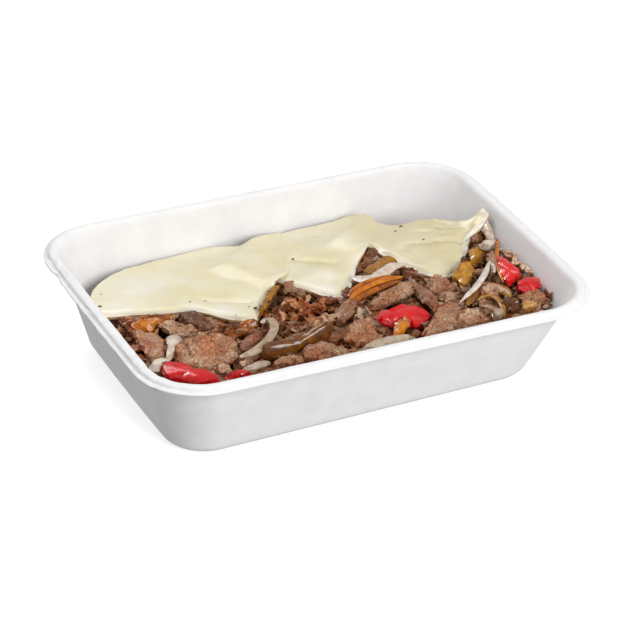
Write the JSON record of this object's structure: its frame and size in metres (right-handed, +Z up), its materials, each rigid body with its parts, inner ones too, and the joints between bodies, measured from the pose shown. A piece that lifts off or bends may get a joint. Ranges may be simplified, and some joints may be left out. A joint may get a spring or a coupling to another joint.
{
  "type": "fibre tray meal",
  "caption": "Takeaway meal in a moulded fibre tray: shaved beef with peppers and onions under slices of pale cheese.",
  "frame": {"origin": "on the table, under the middle of the tray's outline", "axes": "+X along the tray, +Y towards the side that the cheese lies against, +Z up"},
  "size_m": [0.232, 0.1728, 0.05],
  "materials": {
    "fibre": "matt moulded pulp",
    "beef": "moist, torn",
    "cheese": "satin",
    "red": "wet gloss",
    "orange": "wet gloss",
    "olive": "wet gloss",
    "brown": "wet gloss",
    "onion": "wet, translucent"
  },
  "bodies": {
    "root": {"tray": "fibre", "beef_heap": "beef", "cheese_left": "cheese", "cheese_middle": "cheese", "cheese_right": "cheese", "red_pepper_front": "red", "red_pepper_small": "red", "red_pepper_middle": "red", "red_pepper_right": "red", "orange_pepper_left": "orange", "olive_pepper_upper": "olive", "olive_pepper_lower": "olive", "brown_pepper_right": "brown", "onion_flat_left": "onion", "onion_wedge": "onion", "onion_right": "onion", "yellow_pepper_left": "orange", "orange_pepper_strip": "orange", "orange_pepper_bit": "orange", "orange_pepper_wall": "orange", "brown_pepper_long": "brown", "brown_pepper_gap": "brown", "brown_pepper_glossy": "brown", "brown_pepper_arc": "brown", "onion_tall": "onion", "onion_hook": "onion", "onion_front": "onion", "onion_rim": "onion", "onion_arc": "onion", "onion_wall": "onion"}
  },
  "joints": []
}
